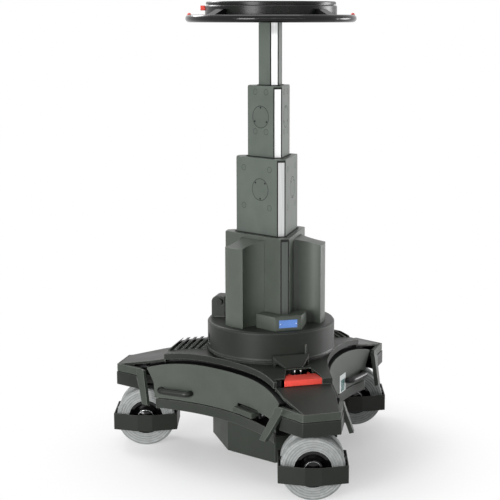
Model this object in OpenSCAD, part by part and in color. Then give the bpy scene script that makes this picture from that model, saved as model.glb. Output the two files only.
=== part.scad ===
// Studio camera pedestal: a three-armed steerable base on twin-wheel casters, with a
// four-part telescopic column of triangular section and a steering ring at the top.
// Frame: +Z up, floor at z = 0, origin on the column's axis. Millimetres.
// Arm A points along -Y; arms B and C follow at 120 degree steps.

/* [Base plan] */
// Distance of the three caster pivots from the column's axis
caster_r = 439; // [420:1:450]
// Distance of the concave sides from the axis, at the middle of each side
waist = 213; // [212:1:225]
// How far in front of the caster's pivot the concave side ends and the arm's end begins
knee_back = 31; // [27:1:35]
// Half width of an arm at that place
knee_s = 99.5; // [98:0.5:104]
// How far an arm reaches beyond its caster's pivot
arm_reach = 85; // [79:1:101]
// Half width of an arm's end face
arm_end_s = 60; // [56:1:66]
// Half width of an arm's bumper where its legs bend down
bumper_s = 112; // [110:0.5:114]
// Wall of the moulded covers
cover_wall = 4; // [3:0.5:5]

/* [Base heights] */
// Lowest edge of the sill that runs round the base
sill_bottom = 152; // [140:1:156]
// Height of the sill
sill_h = 32; // [26:1:34]
// Dark joint between the sill and the side panels
sill_joint = 3; // [2:0.5:5]
// Underside of the chassis arms, above the wheels
arm_bottom = 217; // [214:1:220]
// Depth of the chassis arms
arm_h = 28; // [22:1:30]
// Top of the deck round the column
deck_top = 352; // [348:1:358]
// Distance from the axis where the deck begins to fall
deck_crown_r = 221; // [215:1:230]
// Radius of the deck's fall towards the arm ends
deck_curve = 665; // [620:5:720]
// Height of the deck's edge band
deck_edge = 20; // [14:1:24]
// Distance along an arm where the raised deck steps down to the arm's panel
deck_step_r = 345; // [342:1:348]
// Height of the arm's panel at the step
panel_step_z = 320; // [316:1:322]
// Fall of the arm's panel, in degrees
panel_fall = 11.8; // [10:0.1:12.5]
// Height of the dark groove between the deck and the side panels
groove_h = 14; // [8:1:20]
// Underside of the tray below the base
pan_bottom = 47; // [40:1:60]

/* [Drum and column] */
// Radius of the drum
drum_r = 211; // [206:1:212]
// Height of the drum's underside
drum_bottom = 362; // [360:1:366]
// Height of the drum's top
drum_top = 459; // [450:1:470]
// Distance of the flat faces of the column casing from the axis
casing_flat = 88; // [87:0.5:90]
// Distance of the corner facets of the casing from the axis
casing_corner = 152; // [150:0.5:154]
// Distance of the flat faces of stage 1
stage_1_flat = 68.5; // [67:0.5:70]
// Distance of the corner facets of stage 1
stage_1_corner = 113.5; // [112:0.5:115]
// Distance of the flat faces of stage 2
stage_2_flat = 49; // [48:0.5:50]
// Distance of the corner facets of stage 2
stage_2_corner = 74.5; // [73:0.5:76]
// Distance of the flat faces of stage 3
stage_3_flat = 30.7; // [30:0.1:32]
// Distance of the corner facets of stage 3
stage_3_corner = 37.8; // [37:0.1:39]
// Height of the casing's top
casing_top = 750; // [735:1:765]
// Height of the top of stage 1 as it stands
stage_1_top = 1000; // [990:1:1010]
// Height of the top of stage 2 as it stands
stage_2_top = 1230; // [1220:1:1240]
// Height of the top of stage 3 as it stands
stage_3_top = 1432; // [1425:1:1440]
// Travel of each stage below where it stands
travel_down = 190; // [170:1:195]
// Wall of the casing
casing_wall = 6; // [4:0.5:8]
// Wall of the stages
stage_wall = 5; // [3:0.5:6]
// Thickness of the collar at the top of each tube
collar_t = 12; // [10:1:16]
// Thickness of the guide plate at the foot of each stage
guide_t = 12; // [8:1:14]
// Width of the polished strips on the corners
strip_w = 21; // [16:0.5:22]
// Thickness of the strips
strip_t = 1.5; // [1:0.1:2]
// Distance that a strip stops below the top of its tube
strip_gap = 10; // [6:1:14]
// Thickness of the wiper seals on the collars
seal_t = 2.5; // [1.5:0.5:4]

/* [Face covers] */
// Radius of the round covers on the faces of stages 1 and 2
cover_r = 35; // [30:0.5:36]
// Radius of the small plugs beside them
plug_r = 9; // [6:0.5:10]
// Depth of their recesses
cover_t = 3; // [2:0.25:3.5]
// Distance of stage 1's covers from the middle of the face
cover_side = 16; // [0:1:20]

/* [Casters] */
// Radius of the wheels
wheel_r = 100; // [96:0.5:101]
// Width of a tyre
tyre_w = 36; // [30:1:38]
// Distance between the middles of the two wheels of a caster
twin_pitch = 76; // [70:1:80]
// Radius of the hub inside a tyre
hub_r = 58; // [50:1:66]
// Radius of the axle
axle_r = 9; // [7:0.5:10]
// Radius of the swivel stem
stem_r = 22; // [18:0.5:24]
// Half length of the cable guard along the rolling direction
guard_x = 107.5; // [105:0.5:110]
// Half width of the cable guard at its middle
guard_y = 95; // [90:1:98]
// Height of the guard's lower edge above the floor
guard_bottom = 62; // [50:1:66]
// Height of the guard's band
guard_h = 56; // [46:1:60]
// Angle at which the wheels and the ring stand
steer = -16.9; // [-30:0.1:30]

/* [Head] */
// Outer radius of the steering ring
ring_r = 274; // [268:1:285]
// Radius of the ring's tube
ring_tube = 12; // [9:0.5:14]
// Height of the middle of the ring's tube
ring_z = 1442; // [1438:1:1444]
// Radius of the disc above the ring
disc_r = 211; // [200:1:216]
// Height of the disc
disc_h = 42; // [36:1:48]
// Radius of the top plate for a camera head
plate_r = 82; // [75:1:100]
// Radius of the circle of bolt holes in the top plate
bolt_circle_r = 50.8; // [45:0.1:60]
// Radius of the bolt holes
bolt_hole_r = 5.25; // [4:0.25:6]

/* [Pedals] */
// Half width of the red steering pedal at its front
pedal_front_s = 61.5; // [56:0.5:62]
// Distance of the pedal's back corner from its middle line, left
pedal_left_s = 26; // [24:1:30]
// Distance of the pedal's back corner from its middle line, right
pedal_right_s = 51; // [48:1:52]
// Distance of the pedal's opening from the axis
pedal_back_r = 257; // [256:0.5:260]
// Thickness of the red steering pedal at its front
pedal_t = 19; // [14:1:20]
// Half length of a brake treadle
treadle_half = 50; // [44:1:54]
// Reach of a brake treadle beyond the side panel
treadle_reach = 24; // [18:1:28]
// Radius of the pedal pins
pin_r = 4; // [3:0.25:4.5]

/* [Hidden] */
$fn = 96;
ARMS = [-90, 30, 150];
FACES = [-150, -30, 90];
seat = 0.3;
plug_gap = 0.25;
run_fit = 0.05;
slide_gap = 0.35;
eps = 0.01;
far = 900;

casing_grey = "#4a4e48";
cover_grey = "#53584f";
dark_grey = "#2a2d28";
black = "#161816";
steel = "#d6d8d8";
tyre_grey = "#a0a5ab";
signal_red = "#d03a3a";

// Concave sides: circles about points on the face directions, through the waist and the knee
knee_r = caster_r - knee_back;
arm_end_r = caster_r + arm_reach;
arc_d = (knee_r * knee_r + knee_s * knee_s - waist * waist)
    / (2 * (knee_r * cos(60) + knee_s * sin(60) - waist));
arc_r = arc_d - waist;
flare = atan((knee_s - arm_end_s) / (arm_end_r - knee_r));

sill_top = sill_bottom + sill_h;
panel_bottom = sill_top + sill_joint;
arm_top = arm_bottom + arm_h;
floor_t = 6;
deck_inset = 8;
groove_in = 34;
arm_deck_inset = 14;
panel_edge = 8;
strap_h = 24;
strap_top = 284;
strap_bottom = strap_top - strap_h;
strap_d = 14;
bumper_r = knee_r + 2;
bumper_flare = atan((bumper_s - arm_end_s) / (arm_end_r - bumper_r));
foot = sill_bottom + floor_t;
post_r = 75;
cap_bottom = arm_bottom - cover_wall;

sprocket_r = 36;
sprocket_t = 5;
chain_pitch_z = 10;
chain_h = 6;
chain_t = 4;
sprocket_z = arm_top + 6;
casing_bottom = sprocket_z + 3 * chain_pitch_z + 4;
casing_floor = casing_bottom + 6;
stage_1_bottom = casing_floor + travel_down + 4;
stage_2_bottom = stage_1_bottom + guide_t + travel_down + 4;
stage_3_bottom = stage_2_bottom + guide_t + travel_down + 4;

rod_hex_r = 6.5;
mid_hex_r = 11.5;
mid_journal_r = 9.7;
tube_top_r = 15;
hex_gap = 0.4;
shaft_journal_r = 12;

leg_t = twin_pitch - tyre_w - 10;
crown_bottom = 2 * wheel_r + 2;
crown_top = cap_bottom - 2;
guard_wall = 4;
yoke_half = 34;
disc_bottom = ring_z + ring_tube - 1;
disc_top = disc_bottom + disc_h;
knob_z = disc_top - 20;
boss_r = 40;
ring_mid_r = ring_r - ring_tube;

vent_top = 378;
treadle_phi = -9.7;
bar_back = 110.2;
bar_phi = asin((knee_r * sin(60) - knee_s * cos(60)) / arc_r) - bar_back / arc_r * 180 / PI;
bar_r = 10;
bar_half = 56;
bar_bend = 16;
bar_stand = 22;
bar_z = 217;
treadle_z = 208;
pedal_pin_z = 326;
pedal_pin_r = pedal_back_r + 9;
pedal_gap = 1.5;

// Point where two lines meet, each given by the angle of its normal and its distance
function meet(a1, d1, a2, d2) =
    [(d1 * sin(a2) - d2 * sin(a1)) / sin(a2 - a1), (d2 * cos(a1) - d1 * cos(a2)) / sin(a2 - a1)];
// Point at distance r along an arm and s to its left
function along(a, r, s) = [r * cos(a) - s * sin(a), r * sin(a) + s * cos(a)];
// Height of the deck at distance r
function deck_z(r) = r < deck_crown_r ? deck_top
    : deck_top - deck_curve + sqrt(deck_curve * deck_curve - pow(r - deck_crown_r, 2));

// Height of the arm's panel at distance r
function panel_z(r) = panel_step_z - (r - deck_step_r) * tan(panel_fall);

// Triangle with flat corners: the section of the column's tubes
module tri(flat, corner) {
    polygon([for (i = [0 : 2]) let (a = ARMS[i])
        each [meet(a - 60, flat, a, corner), meet(a, corner, a + 60, flat)]]);
}

// Outline of the base, drawn in by inset
module star(inset) {
    side = inset / cos(flare);
    difference() {
        polygon([for (a = ARMS) each [
            along(a, knee_r, side - knee_s),
            along(a, arm_end_r - inset, side - arm_end_s - inset * tan(flare)),
            along(a, arm_end_r - inset, arm_end_s + inset * tan(flare) - side),
            along(a, knee_r, knee_s - side)]]);
        for (a = FACES)
            rotate(a) translate([arc_d, 0]) circle(arc_r + inset, $fn = 180);
    }
}

// The part of each arm that lies beyond distance r
module arm_zone(r) {
    for (a = ARMS) rotate(a) translate([r, -200]) square([300, 400]);
}

// Outline of the arms' bumpers beyond distance start, drawn in by inset
module end_plan(inset, start) {
    slope = tan(bumper_flare);
    side = bumper_s - inset / cos(bumper_flare);
    end = arm_end_r - inset;
    wide = side - (start - bumper_r) * slope;
    narrow = side - (end - bumper_r) * slope;
    for (a = ARMS) rotate(a) polygon([[start, -wide], [end, -narrow], [end, narrow], [start, wide]]);
}

module plan(inset, z0, z1) {
    translate([0, 0, z0]) linear_extrude(z1 - z0) star(inset);
}

// Solid under the deck's surface, moved by dz
module dome(dz) {
    translate([0, 0, dz]) rotate_extrude($fn = 180) {
        square([deck_crown_r, deck_top]);
        intersection() {
            translate([deck_crown_r - eps, 0]) square([400, deck_top + 10]);
            translate([deck_crown_r, deck_top - deck_curve]) circle(deck_curve, $fn = 360);
        }
    }
}

// Places children on an arm: x along the arm, y to its left
module on_arm(a) {
    rotate(a) children();
}

// Places children on a concave side: x outwards from the surface, y along it, mirrored on the side opposite B
module on_face(a, phi) {
    rotate(a) mirror([0, a == FACES[1] ? 1 : 0, 0])
        translate([arc_d, 0, 0]) rotate(phi) translate([-arc_r, 0, 0]) children();
}

// Places children at a caster's pivot, turned with the steering
module at_caster(a) {
    translate([caster_r * cos(a), caster_r * sin(a), 0]) rotate(steer) children();
}

module casters_cut(r, z0, z1) {
    for (a = ARMS)
        translate([caster_r * cos(a), caster_r * sin(a), z0]) cylinder(h = z1 - z0, r = r);
}

// Sill round the base and the floor inside it, open for the wheels and for hands above the tray
module sill() {
    wheel_room = 122;
    hatch = [60, 80];
    difference() {
        union() {
            plan(-2, sill_bottom, sill_bottom + floor_t);
            difference() {
                plan(-2, sill_bottom, sill_top);
                plan(8, sill_bottom - 1, sill_top + 1);
            }
            difference() {
                plan(cover_wall, sill_top - 1, panel_bottom + 13);
                plan(2 * cover_wall, sill_top - 2, panel_bottom + 20);
            }
        }
        casters_cut(wheel_room, sill_bottom - 1, 300);
        translate([0, 0, sill_bottom - 1]) linear_extrude(far) arm_zone(caster_r);
        intersection() {
            plan(8 - eps, sill_bottom - 1, foot + 1);
            linear_extrude(far) arm_zone(caster_r - wheel_room);
        }
        for (a = FACES) {
            on_face(a, treadle_phi)
                translate([-30, -treadle_half - 16, sill_top]) cube([60, 2 * treadle_half + 92, 60]);
            rotate(a) translate([95, -hatch[1] / 2, sill_bottom - 1]) cube([hatch[0], hatch[1], 20]);
        }
    }
}

module chassis_frame() {
    arm_half = 40;
    color(casing_grey) difference() {
        union() {
            for (a = ARMS) on_arm(a) {
                translate([50, -arm_half, arm_bottom]) cube([caster_r - 40, 2 * arm_half, arm_h]);
                translate([caster_r, 0, arm_bottom]) cylinder(h = arm_h + 3, r = arm_half);
            }
            translate([0, 0, arm_bottom]) cylinder(h = arm_h, r = post_r);
            for (a = FACES) rotate(a)
                translate([72, -24, arm_top - 20]) cube([casing_flat - 72, 48, casing_bottom - arm_top + 20]);
        }
        casters_cut(stem_r, arm_bottom - 1, arm_top + 30);
        translate([0, 0, arm_bottom - 1]) cylinder(h = 200, r = shaft_journal_r);
    }
}

// Solid under the surface of an arm's panel, moved by dz
module arm_slab(dz) {
    for (a = ARMS) on_arm(a)
        translate([0, 150, 0]) rotate([90, 0, 0]) linear_extrude(300)
            polygon([[300, 100], [300, panel_z(300) + dz], [600, panel_z(600) + dz], [600, 100]]);
}

// Outline of the raised deck
module deck_plan(inset, step_in) {
    difference() {
        star(inset);
        arm_zone(deck_step_r - step_in);
    }
}

// Outline of the lower panels on the arms, drawn in by inset; they reach close to the arm's end
module panel_plan(inset, start) {
    side = knee_s - (arm_deck_inset + inset) / cos(flare);
    end = arm_end_r - 3 - inset;
    narrow = arm_end_s - 4 - inset;
    intersection() {
        union() {
            star(arm_deck_inset + inset);
            for (a = ARMS) rotate(a) polygon([[knee_r, -side], [end, -narrow], [end, narrow], [knee_r, side]]);
        }
        arm_zone(start);
    }
}

module deck_shell() {
    step_depth = 30;
    difference() {
        intersection() {
            linear_extrude(far) deck_plan(deck_inset, 0);
            dome(0);
        }
        dome(-deck_edge);
        intersection() {
            linear_extrude(far) deck_plan(deck_inset + cover_wall, cover_wall);
            dome(-cover_wall);
        }
    }
    intersection() {
        linear_extrude(far) intersection() {
            deck_plan(arm_deck_inset, 0);
            arm_zone(deck_step_r - cover_wall);
        }
        difference() {
            dome(-1);
            dome(-step_depth);
        }
    }
    difference() {
        intersection() {
            linear_extrude(far) panel_plan(0, deck_step_r - 1);
            arm_slab(0);
        }
        arm_slab(-panel_edge);
        intersection() {
            linear_extrude(far) panel_plan(cover_wall, deck_step_r + cover_wall);
            arm_slab(-cover_wall);
        }
    }
}

// Mound on arms B and C, its surface drawn in by depth
module vent_mound(depth) {
    half = 56;
    top_half = 16;
    end = deck_step_r - 1;
    intersection() {
        translate([0, half, 0]) rotate([90, 0, 0]) linear_extrude(2 * half)
            polygon([[drum_r - 6, deck_top - 3], [drum_r - 6, vent_top - depth], [deck_crown_r + 15, vent_top - depth],
                [deck_step_r - 27, vent_top - 15 - depth], [end, max(deck_z(end) + 2 - depth, deck_z(end) - 2)],
                [end, deck_z(end) - 3]]);
        rotate([90, 0, 90]) linear_extrude(far)
            polygon([[-half, 300], [-half, deck_top - depth - 4], [-top_half, vent_top - depth + 2],
                [top_half, vent_top - depth + 2], [half, deck_top - depth - 4], [half, 300]]);
    }
}

// Mound with leaning cooling slots in its skin
module vent_block() {
    first = 24;
    toe = 24;
    slots = 5;
    slot_step = (deck_step_r - drum_r - first - toe) / (slots - 1);
    slot_w = slot_step * 0.4;
    slot_depth = 9;
    slot_lean = 45;
    difference() {
        vent_mound(0);
        difference() {
            for (i = [0 : slots - 1])
                translate([drum_r + first + i * slot_step, -100, deck_top]) rotate([0, -slot_lean, 0])
                    translate([-slot_w / 2, 0, -60]) cube([slot_w, 200, 140]);
            vent_mound(slot_depth);
        }
        cylinder(h = 500, r = drum_r + 2.5);
    }
}

module deck_cover() {
    lug_w = 8;
    color(casing_grey) {
        difference() {
            union() {
                deck_shell();
                for (a = [30, 150]) on_arm(a) vent_block();
            }
            translate([0, 0, 200]) cylinder(h = 300, r = 190);
            on_arm(-90) linear_extrude(far) {
                pedal_outline(pedal_gap);
                translate([deck_step_r - 20, -86]) square([20 + pedal_gap, 40]);
            }
        }
        on_arm(-90) for (y = [-pedal_left_s - 15, pedal_right_s + 5])
            difference() {
                translate([pedal_pin_r - 7, y, pedal_pin_z - 7]) cube([14, lug_w, 40]);
                pedal_bore(pin_r);
                translate([0, y - 5, 0]) difference() {
                    cube([far, 20, far]);
                    translate([0, 5 - y, 0]) dome(1 - cover_wall);
                }
            }
    }
}

// Outline of the red pedal, let out by grow
module pedal_outline(grow) {
    front = deck_step_r + grow;
    polygon([[pedal_back_r - grow, pedal_right_s + grow], [pedal_back_r - grow, -pedal_left_s - grow],
        [front, -pedal_front_s - grow], [front, pedal_front_s + grow], [front - 28, pedal_front_s + grow]]);
}

module pedal_bore(r) {
    translate([pedal_pin_r, -pedal_left_s - 10, pedal_pin_z]) rotate([-90, 0, 0])
        cylinder(h = pedal_left_s + pedal_right_s + 18, r = r);
}

// Cuts the ends of the side panels to the slope of the wheel arches
module panel_ends() {
    for (a = ARMS) on_arm(a)
        rotate([90, 0, 0]) translate([0, 0, -250]) linear_extrude(500)
            polygon([[knee_r - 29, 100], [knee_r - 29, 205], [knee_r - 26, 239], [knee_r - 15, 264],
                [knee_r - 4, strap_top], [knee_r - 4, 500], [far, 500], [far, 100]]);
}

module skirt_panels() {
    lug_x = 19;
    color(cover_grey) {
        difference() {
            union() {
                difference() {
                    intersection() {
                        plan(0, panel_bottom, 400);
                        dome(-deck_edge - groove_h);
                    }
                    plan(cover_wall, 0, 500);
                }
                intersection() {
                    difference() {
                        plan(cover_wall - eps, 200, 400);
                        plan(groove_in + 1, 100, 500);
                    }
                    difference() {
                        dome(-deck_edge - groove_h);
                        dome(-deck_edge - groove_h - cover_wall);
                    }
                }
                intersection() {
                    difference() {
                        plan(groove_in, 200, 400);
                        plan(groove_in + cover_wall, 100, 500);
                        linear_extrude(far) arm_zone(deck_step_r - cover_wall - 6);
                    }
                    difference() {
                        dome(-cover_wall);
                        dome(-deck_edge - groove_h - 1);
                    }
                }
            }
            panel_ends();
            for (a = FACES) {
                on_face(a, treadle_phi)
                    translate([-30, -treadle_half - 5, panel_bottom - 1])
                        cube([60, 2 * treadle_half + 10, treadle_z + 17 - panel_bottom]);
                on_face(a, treadle_phi)
                    translate([-30, treadle_half, panel_bottom - 1]) cube([60, 80, treadle_z + 13 - panel_bottom]);
                on_face(a, bar_phi) for (y = [-1, 1])
                    translate([-30, y * bar_half, bar_z]) rotate([0, 90, 0]) cylinder(h = 60, r = bar_r + run_fit);
            }
        }
        for (a = FACES) on_face(a, treadle_phi) for (m = [0, 1]) mirror([0, m, 0])
            difference() {
                translate([-20, treadle_half + 6, treadle_z - 10]) cube([lug_x, 7, 38]);
                translate([-12, 0, treadle_z]) rotate([-90, 0, 0]) cylinder(h = 200, r = pin_r);
            }
    }
}

// Cut along the front edges of the bumpers' legs: what lies behind it
module behind_legs() {
    for (a = ARMS) on_arm(a)
        translate([0, 250, 0]) rotate([90, 0, 0]) linear_extrude(500)
            polygon([[300, 100], [bumper_r - 28, 100], [bumper_r + 20, cap_bottom], [bumper_r + 33, strap_bottom],
                [bumper_r + 40, strap_top], [300, strap_top]]);
}

// Lower body of each arm's end, with a shadow joint under the bumper
module arm_caps() {
    proud = 2;
    joint = 2.5;
    back = bumper_r - 10;
    color(cover_grey) difference() {
        union() {
            translate([0, 0, cap_bottom]) linear_extrude(strap_bottom - joint - cap_bottom) difference() {
                end_plan(-proud, back);
                end_plan(cover_wall, back - 1);
            }
            translate([0, 0, cap_bottom]) linear_extrude(strap_bottom - cap_bottom) difference() {
                end_plan(cover_wall - eps, back);
                end_plan(2 * cover_wall, back - 1);
            }
            translate([0, 0, cap_bottom]) linear_extrude(cover_wall) end_plan(0, back);
        }
        behind_legs();
        casters_cut(stem_r + 8, cap_bottom - 1, arm_bottom + 1);
    }
}

// Bumper round each arm's end, bent down into a splayed leg at each side
module bumper_straps() {
    ledge = 36;
    start = bumper_r + 14;
    bend = 16;
    splay = 15;
    color(cover_grey) {
        difference() {
            translate([0, 0, strap_bottom]) linear_extrude(strap_h) difference() {
                end_plan(0, start);
                end_plan(strap_d, start - 1);
            }
            difference() {
                linear_extrude(far) panel_plan(-seat, deck_step_r);
                arm_slab(-panel_edge - seat);
            }
        }
        translate([0, 0, strap_bottom]) linear_extrude(cover_wall) difference() {
            end_plan(strap_d - eps, start);
            end_plan(ledge, start - 1);
        }
        for (a = ARMS) on_arm(a) for (m = [0, 1]) mirror([0, m, 0])
            translate([bumper_r, bumper_s, strap_top]) rotate([0, 0, -bumper_flare]) rotate([splay, 0, 0])
                rotate([90, 0, 0]) linear_extrude(strap_d)
                    polygon([for (i = [0 : 6]) let (t = 180 - 15 * i) [bend + bend * cos(t), bend * sin(t) - bend],
                        [34, 0], [30, -22], [-15, -114], [-39, -114]]);
    }
}

module drum() {
    wall = 6;
    neck_r = 200;
    color(casing_grey) {
        difference() {
            rotate_extrude($fn = 180) polygon([[neck_r - wall, deck_top], [neck_r, deck_top],
                [neck_r, drum_bottom], [drum_r + 1.5, drum_bottom], [drum_r + 1.5, drum_bottom + 7],
                [drum_r, drum_bottom + 9], [drum_r, drum_top - 6], [drum_r - 4, drum_top - 1],
                [drum_r - 8, drum_top], [0, drum_top], [0, drum_top - wall], [neck_r - wall, drum_top - wall]]);
            translate([0, 0, 300]) linear_extrude(300) tri(casing_flat + seat, casing_corner + seat);
            on_arm(177) translate([drum_r - 5, -16, drum_top - 74]) cube([20, 32, 34]);
        }
        valve_box();
        on_arm(-75) translate([drum_r - 1, -2.5, 380]) cube([5, 5, 33]);
    }
}

// Rounded box on the drum, in front of the casing's corner on arm B
module valve_box() {
    half = 26;
    box_r = 198;
    top = 530;
    round_r = 20;
    on_arm(150) difference() {
        translate([0, half, 0]) rotate([90, 0, 0]) linear_extrude(2 * half) union() {
            translate([casing_corner + 1, drum_top - 1]) square([box_r - casing_corner - 1, top - drum_top - round_r + 1]);
            translate([casing_corner + 1, drum_top - 1])
                square([box_r - casing_corner - 1 - round_r, top - drum_top + 1]);
            translate([box_r - round_r, top - round_r]) circle(round_r);
        }
        translate([casing_corner + 18, half - 8, 512]) rotate([-90, 0, 0]) cylinder(h = 20, r = 4);
    }
}

module valve_knob() {
    color(black) on_arm(150) translate([casing_corner + 18, 26, 512]) rotate([-90, 0, 0]) {
        translate([0, 0, -8]) cylinder(h = 9, r = 4 - run_fit);
        translate([0, 0, seat]) cylinder(h = 10, r = 10);
    }
}

// Outline of the tray under the base, drawn in by inset
module pan_outline(inset) {
    w = 177 - inset;
    polygon([[-66 + inset / 2, -261 + inset], [66 - inset / 2, -261 + inset], [w, -97], [w, 99 - inset / 2],
        [100, 165 - inset], [-100, 165 - inset], [-w, 99 - inset / 2], [-w, -97]]);
}

// Tray under the base, with the sill that the side panels stand on and the post under the chassis
module under_pan() {
    color(casing_grey) {
        translate([0, 0, pan_bottom]) difference() {
            linear_extrude(sill_bottom - pan_bottom + 1) pan_outline(0);
            translate([0, 0, cover_wall]) linear_extrude(sill_bottom) pan_outline(cover_wall);
        }
        sill();
        translate([0, 0, foot - 1]) difference() {
            cylinder(h = arm_bottom - foot + 1, r = post_r);
            translate([0, 0, 21]) cylinder(h = 200, r = shaft_journal_r);
        }
    }
}

// Sloping shield between the drum and the red pedal
module pedal_guard() {
    t = 4;
    top_z = 386;
    foot_r = 252;
    back_r = drum_r + 2;
    color(dark_grey) on_arm(-90) difference() {
        intersection() {
            translate([0, 100, 0]) rotate([90, 0, 0]) linear_extrude(200)
                polygon([[back_r + 1, deck_top - 5], [back_r + 1, top_z], [back_r + 6, top_z],
                    [foot_r, deck_z(foot_r) + 3], [foot_r, deck_z(foot_r) - 5]]);
            linear_extrude(far) polygon([[200, -60], [200, 60], [back_r + 8, 60], [foot_r, 28], [foot_r, -28],
                [back_r + 8, -60]]);
        }
        translate([0, 100, 0]) rotate([90, 0, 0]) translate([0, 0, 46]) linear_extrude(108)
            polygon([[back_r - 1, deck_top - 6], [back_r - 1, top_z - 9], [back_r + 4, top_z - 9],
                [foot_r - 5, deck_z(foot_r)], [foot_r - 5, deck_top - 6]]);
        dome(seat);
        cylinder(h = 500, r = back_r);
    }
}

// Tube along the concave side, bent at both ends into the panel
module side_bars() {
    straight = bar_half - bar_bend;
    color(dark_grey) for (a = FACES) on_face(a, bar_phi) translate([0, 0, bar_z]) {
        translate([bar_stand, -straight, 0]) rotate([-90, 0, 0]) cylinder(h = 2 * straight, r = bar_r);
        for (m = [0, 1]) mirror([0, m, 0]) {
            translate([bar_stand - bar_bend, straight, 0]) rotate_extrude(angle = 90)
                translate([bar_bend, 0]) circle(bar_r);
            translate([-8, bar_half, 0]) rotate([0, 90, 0]) cylinder(h = bar_stand - bar_bend + 8, r = bar_r);
        }
    }
}

// Endless chains from the centre to each caster, one above the other
module steering_chains() {
    inner = sprocket_r + 0.3;
    color(steel) for (i = [0 : 2]) on_arm(ARMS[i])
        translate([0, 0, sprocket_z + i * chain_pitch_z]) linear_extrude(chain_h) difference() {
            union() {
                circle(inner + chain_t);
                translate([caster_r, 0]) circle(inner + chain_t);
                translate([0, -inner - chain_t]) square([caster_r, 2 * (inner + chain_t)]);
            }
            circle(inner);
            translate([caster_r, 0]) circle(inner);
            translate([0, -inner]) square([caster_r, 2 * inner]);
        }
}

// Tube of the column: collar with a hole at the top, recesses for the face covers
module column_tube(flat, corner, wall, z0, z1, next_flat, next_corner) {
    difference() {
        translate([0, 0, z0]) linear_extrude(z1 - z0) tri(flat, corner - strip_t);
        translate([0, 0, z0 - 1]) linear_extrude(z1 - z0 - collar_t + 1) tri(flat - wall, corner - strip_t - wall);
        translate([0, 0, z0]) linear_extrude(z1 - z0 + 1) tri(next_flat + slide_gap, next_corner + slide_gap);
    }
}

// Guide plate at a stage's foot, running in the tube outside it
module guide_plate(out_flat, out_corner, out_wall, z, bore_r) {
    translate([0, 0, z]) difference() {
        linear_extrude(guide_t) tri(out_flat - out_wall - seat, out_corner - strip_t - out_wall - seat);
        translate([0, 0, -1]) cylinder(h = guide_t + 2, r = bore_r);
    }
}

module corner_strips(corner, z0, z1) {
    color(steel) for (a = ARMS) on_arm(a)
        translate([corner - strip_t, -strip_w / 2, z0]) cube([strip_t, strip_w, z1 - z0]);
}

// Wiper seal lying on a collar round the next tube
module wiper(flat, corner, z) {
    lip = 5;
    color(black) translate([0, 0, z]) linear_extrude(seal_t) difference() {
        tri(flat + lip, corner + lip);
        tri(flat + slide_gap, corner + slide_gap);
    }
}

module column_casing() {
    color(casing_grey) {
        column_tube(casing_flat, casing_corner, casing_wall, casing_bottom, casing_top, stage_1_flat,
            stage_1_corner);
        translate([0, 0, casing_bottom]) linear_extrude(casing_floor - casing_bottom) difference() {
            tri(casing_flat - casing_wall + eps, casing_corner - strip_t - casing_wall + eps);
            circle(shaft_journal_r + 4);
        }
    }
}

module casing_strips() {
    corner_strips(casing_corner, drum_top + 1, casing_top - strip_gap);
}

module casing_seal() {
    wiper(stage_1_flat, stage_1_corner, casing_top);
}

// Round cover and four plugs on each face of a stage, let out by grow
module face_discs(flat, z, side, plug_y, plug_up, plug_down, grow, depth) {
    high = grow > 0 ? depth + 2 : depth;
    for (a = FACES) rotate(a) translate([flat - depth, 0, z]) rotate([0, 90, 0]) {
        translate([0, side, 0]) cylinder(h = high, r = cover_r + grow);
        for (y = [-1, 1]) {
            translate([-plug_up, y * plug_y, 0]) cylinder(h = high, r = plug_r + grow);
            translate([plug_down, y * plug_y, 0]) cylinder(h = high, r = plug_r + grow);
        }
    }
}

stage_1_cover_z = stage_1_top - 102;
stage_2_cover_z = stage_2_top - 100;

module stage_1_discs(grow, depth) {
    face_discs(stage_1_flat, stage_1_cover_z, cover_side, 57, 67, 57, grow, depth);
}

module stage_2_discs(grow, depth) {
    face_discs(stage_2_flat, stage_2_cover_z, 0, 24, 80, 47, grow, depth);
}

module stage_1() {
    color(casing_grey) difference() {
        union() {
            column_tube(stage_1_flat, stage_1_corner, stage_wall, stage_1_bottom, stage_1_top, stage_2_flat,
                stage_2_corner);
            guide_plate(casing_flat, casing_corner, casing_wall, stage_1_bottom, rod_hex_r + 2);
        }
        stage_1_discs(plug_gap, cover_t);
    }
}

module stage_1_strips() {
    corner_strips(stage_1_corner, stage_1_bottom + guide_t + 1, stage_1_top - strip_gap);
}

module stage_1_seal() {
    wiper(stage_2_flat, stage_2_corner, stage_1_top);
}

module stage_1_covers() {
    color(cover_grey) stage_1_discs(0, cover_t - 0.2);
}

module stage_2() {
    color(casing_grey) difference() {
        union() {
            column_tube(stage_2_flat, stage_2_corner, stage_wall, stage_2_bottom, stage_2_top, stage_3_flat,
                stage_3_corner);
            guide_plate(stage_1_flat, stage_1_corner, stage_wall, stage_2_bottom, mid_journal_r + run_fit);
        }
        stage_2_discs(plug_gap, cover_t);
    }
}

module stage_2_strips() {
    corner_strips(stage_2_corner, stage_2_bottom + guide_t + 1, stage_2_top - strip_gap);
}

module stage_2_seal() {
    wiper(stage_3_flat, stage_3_corner, stage_2_top);
}

module stage_2_covers() {
    color(cover_grey) stage_2_discs(0, cover_t - 0.2);
}

module stage_3() {
    wall = 4;
    color(casing_grey) {
        difference() {
            translate([0, 0, stage_3_bottom]) linear_extrude(stage_3_top - stage_3_bottom)
                tri(stage_3_flat, stage_3_corner - strip_t);
            translate([0, 0, stage_3_bottom - 1]) cylinder(h = stage_3_top, r = stage_3_flat - wall);
        }
        guide_plate(stage_2_flat, stage_2_corner, stage_wall, stage_3_bottom, tube_top_r + run_fit);
    }
}

module stage_3_strips() {
    corner_strips(stage_3_corner, stage_3_bottom + guide_t + 1, stage_3_top);
}

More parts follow.
